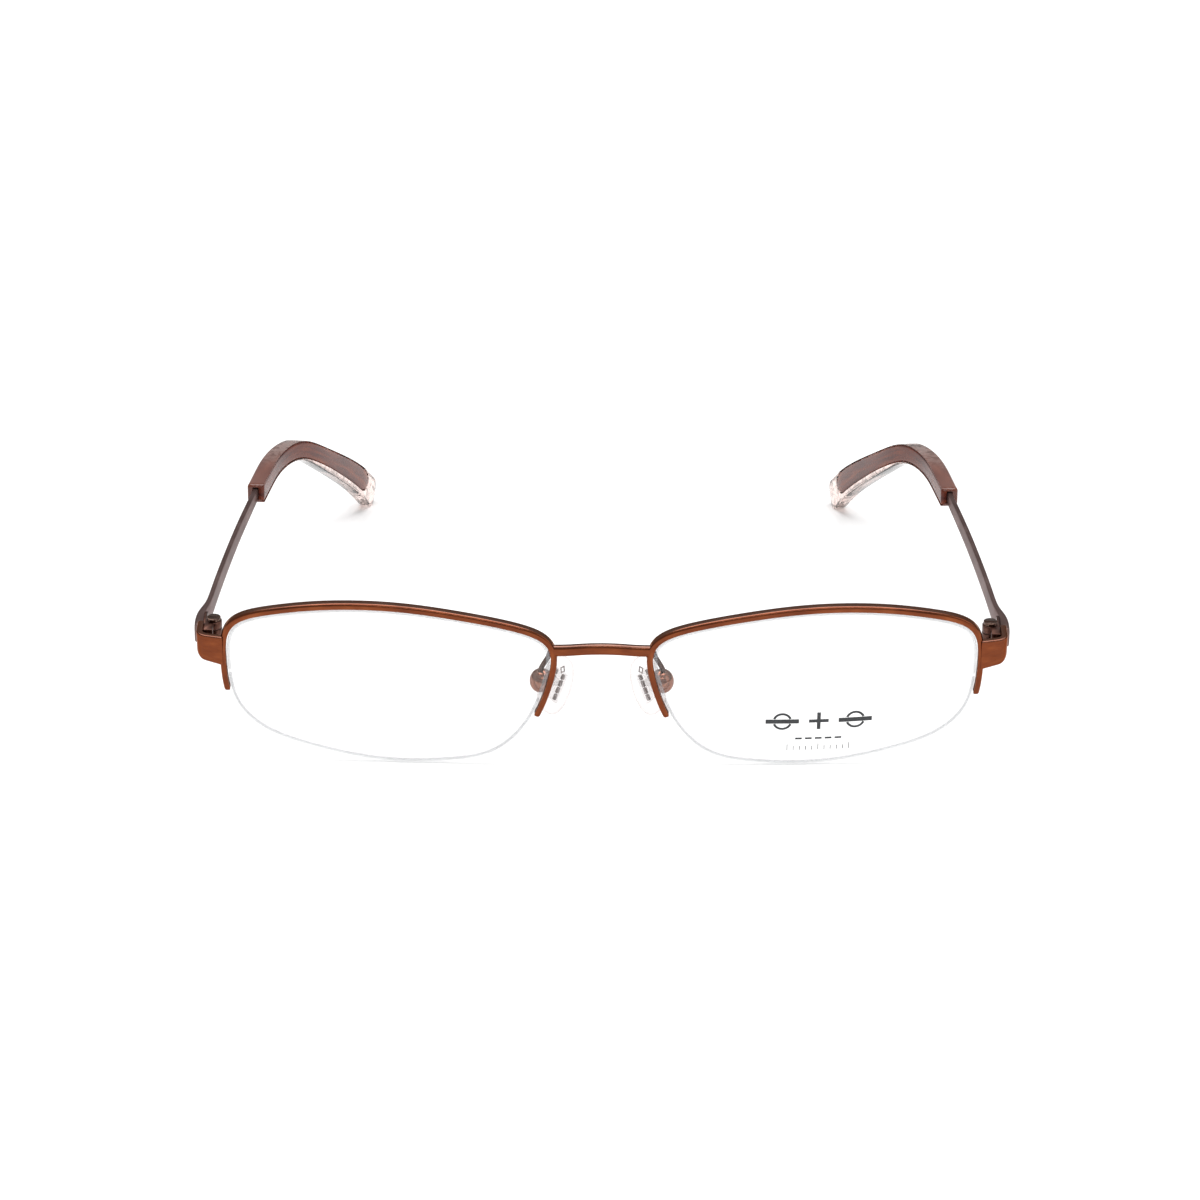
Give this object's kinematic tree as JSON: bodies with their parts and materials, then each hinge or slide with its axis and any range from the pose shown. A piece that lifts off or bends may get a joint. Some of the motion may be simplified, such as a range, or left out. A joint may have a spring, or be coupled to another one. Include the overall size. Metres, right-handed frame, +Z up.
{
  "type": "half rim eyeglasses",
  "caption": "Half rim eyeglasses with a metal brow rim, grooved lenses held by nylon cords, rocking nose pads and folding temples with layered tips.",
  "frame": {"origin": "centre of the bounding box's bottom face, on the ground under the middle of the glasses", "axes": "+X to the wearer's left, +Y backwards towards the wearer's face and the temple tips, +Z up"},
  "size_m": [0.1324, 0.1376, 0.029],
  "materials": {
    "copper_metal": "satin coppery brown lacquer on metal",
    "bronze_metal": "satin grey-brown lacquer on metal",
    "screw_steel": "polished steel",
    "lens": "polished clear plastic lens with a glossy edge",
    "nylon": "clear nylon",
    "pad_silicone": "clear soft silicone",
    "tip_brown": "polished translucent brown acetate",
    "tip_clear": "polished clear acetate"
  },
  "bodies": {
    "front": {"right_eyewire": "copper_metal", "left_eyewire": "copper_metal", "bridge": "copper_metal", "right_endpiece": "copper_metal", "left_endpiece": "copper_metal", "right_lens": "lens", "left_lens": "lens", "right_lens_liner": "nylon", "left_lens_liner": "nylon", "right_nylon_cord": "nylon", "left_nylon_cord": "nylon", "right_hinge_front_leaf": "bronze_metal", "left_hinge_front_leaf": "bronze_metal", "right_hinge_screw": "screw_steel", "left_hinge_screw": "screw_steel", "right_pad_arm": "bronze_metal", "left_pad_arm": "bronze_metal", "right_pad_box": "bronze_metal", "left_pad_box": "bronze_metal", "right_pad_pin": "screw_steel", "left_pad_pin": "screw_steel"},
    "right_temple_body": {"right_temple": "bronze_metal", "right_hinge_temple_leaf": "bronze_metal", "right_tip_inner_layer": "tip_brown", "right_tip_clear_layer": "tip_clear"},
    "left_temple_body": {"left_temple": "bronze_metal", "left_hinge_temple_leaf": "bronze_metal", "left_tip_inner_layer": "tip_brown", "left_tip_clear_layer": "tip_clear"},
    "right_pad_body": {"right_nose_pad": "pad_silicone", "right_pad_core": "screw_steel"},
    "left_pad_body": {"left_nose_pad": "pad_silicone", "left_pad_core": "screw_steel"}
  },
  "joints": [
    {"name": "right_temple_fold", "type": "hinge", "parent": "front", "child": "right_temple_body", "pos_m": [-0.0629, -0.05641, 0.01966], "axis": [0, 0.1564, -0.9877], "range_deg": [0, 84]},
    {"name": "left_temple_fold", "type": "hinge", "parent": "front", "child": "left_temple_body", "pos_m": [0.0629, -0.05641, 0.01966], "axis": [0, -0.1564, 0.9877], "range_deg": [0, 78]},
    {"name": "right_pad_rock", "type": "hinge", "parent": "front", "child": "right_pad_body", "pos_m": [-0.01, -0.05795, 0.0121], "axis": [0.5785, -0.788, -0.2106], "range_deg": [-10, 10]},
    {"name": "left_pad_rock", "type": "hinge", "parent": "front", "child": "left_pad_body", "pos_m": [0.01, -0.05795, 0.0121], "axis": [-0.5785, -0.788, -0.2106], "range_deg": [-10, 10]}
  ]
}
